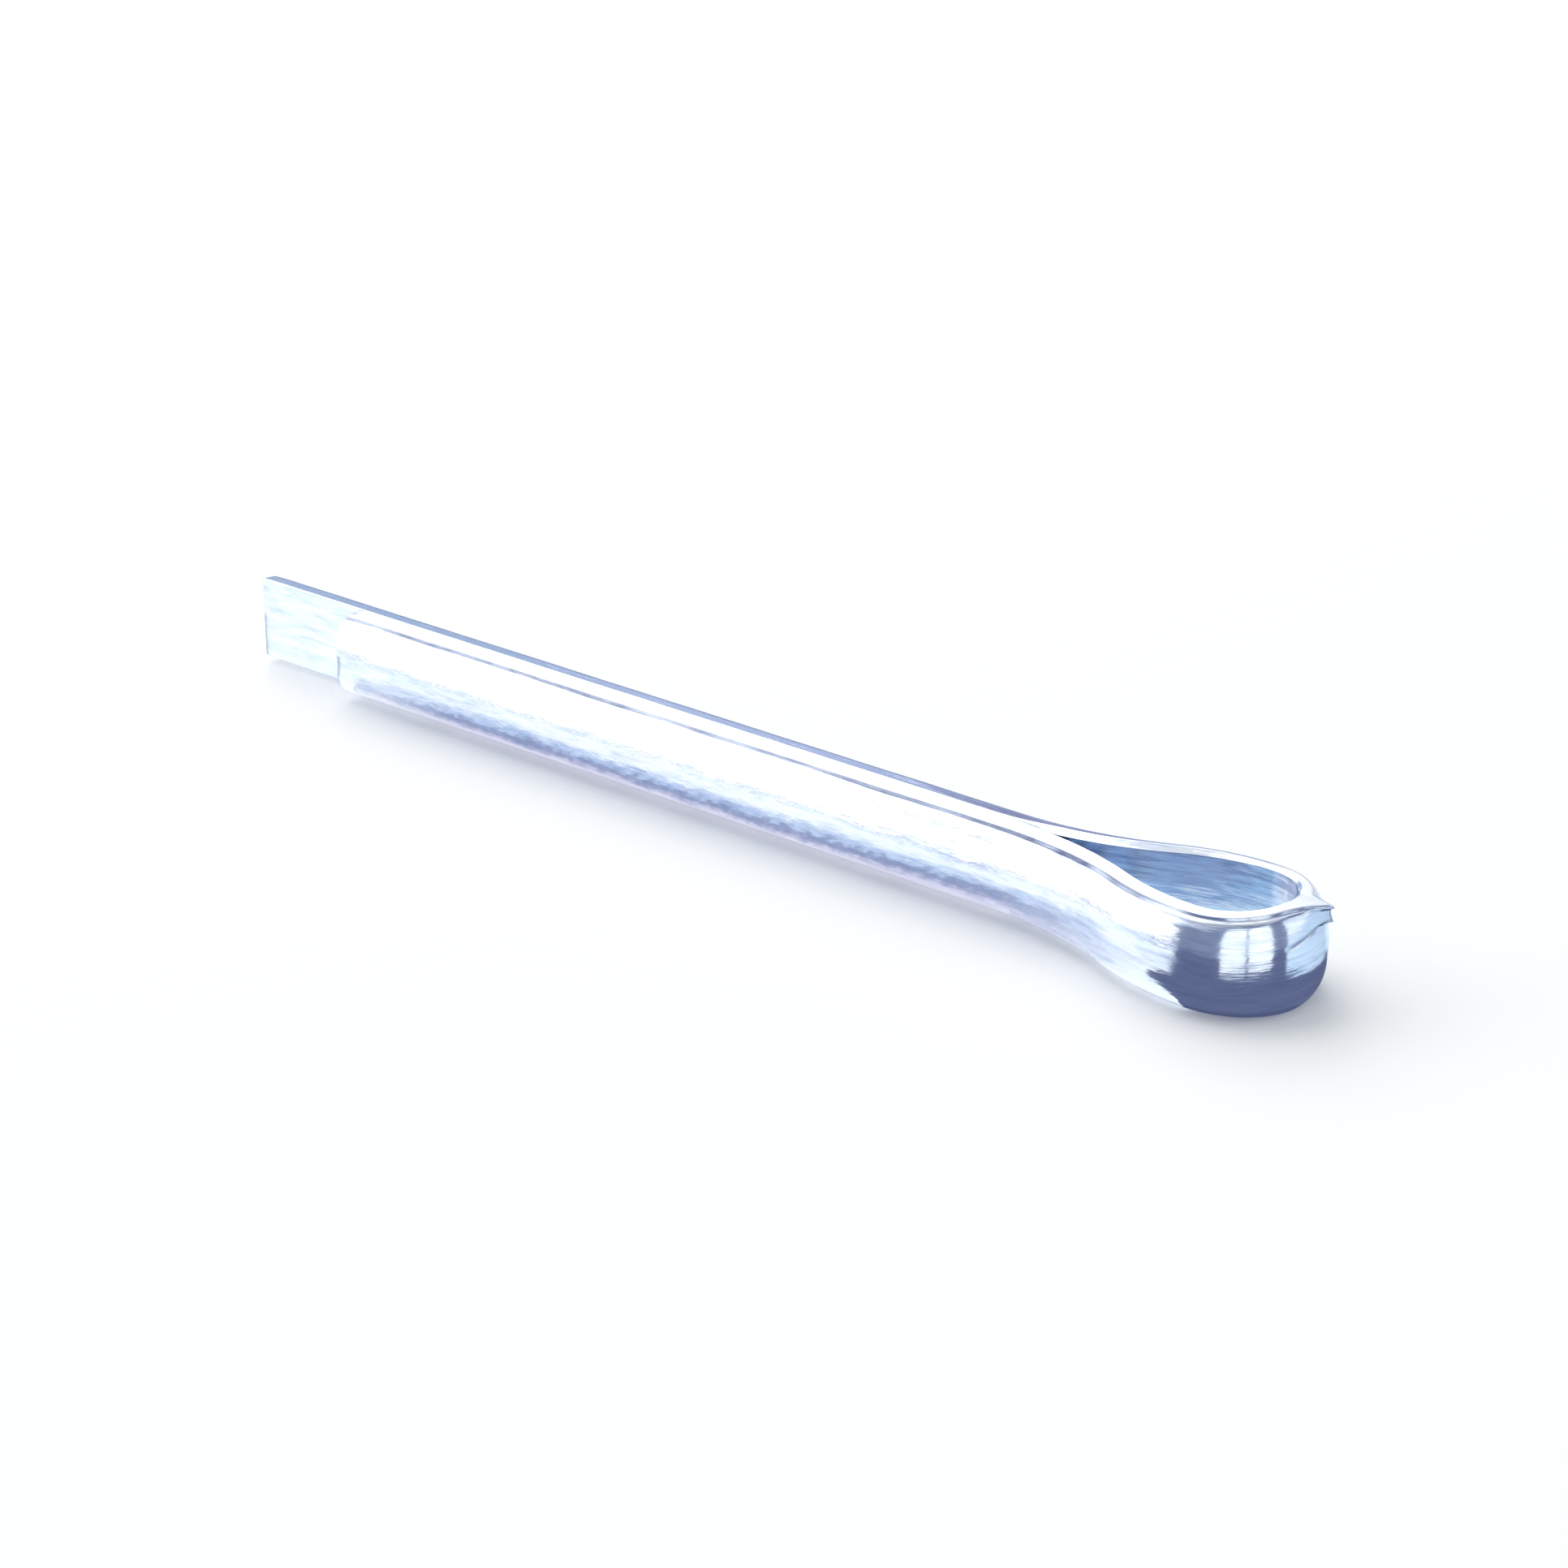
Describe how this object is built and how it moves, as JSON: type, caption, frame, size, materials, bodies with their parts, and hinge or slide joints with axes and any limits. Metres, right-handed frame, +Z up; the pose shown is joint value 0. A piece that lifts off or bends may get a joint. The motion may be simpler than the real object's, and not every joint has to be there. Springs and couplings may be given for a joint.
{
  "type": "cotter pin",
  "caption": "Split cotter pin of half-round wire with a teardrop eye, a closed round shank and legs of unequal length.",
  "frame": {"origin": "under the middle of the pin's length, on the ground that the pin lies on", "axes": "+X along the shank towards the eye, +Z up through the eye's opening, +Y towards the long leg's side"},
  "size_m": [0.0674, 0.0088, 0.005],
  "materials": {
    "wire": "bright zinc plated, drawn half-round wire with fine lengthwise marks"
  },
  "bodies": {
    "root": {"cotter_pin": "wire"}
  },
  "joints": []
}
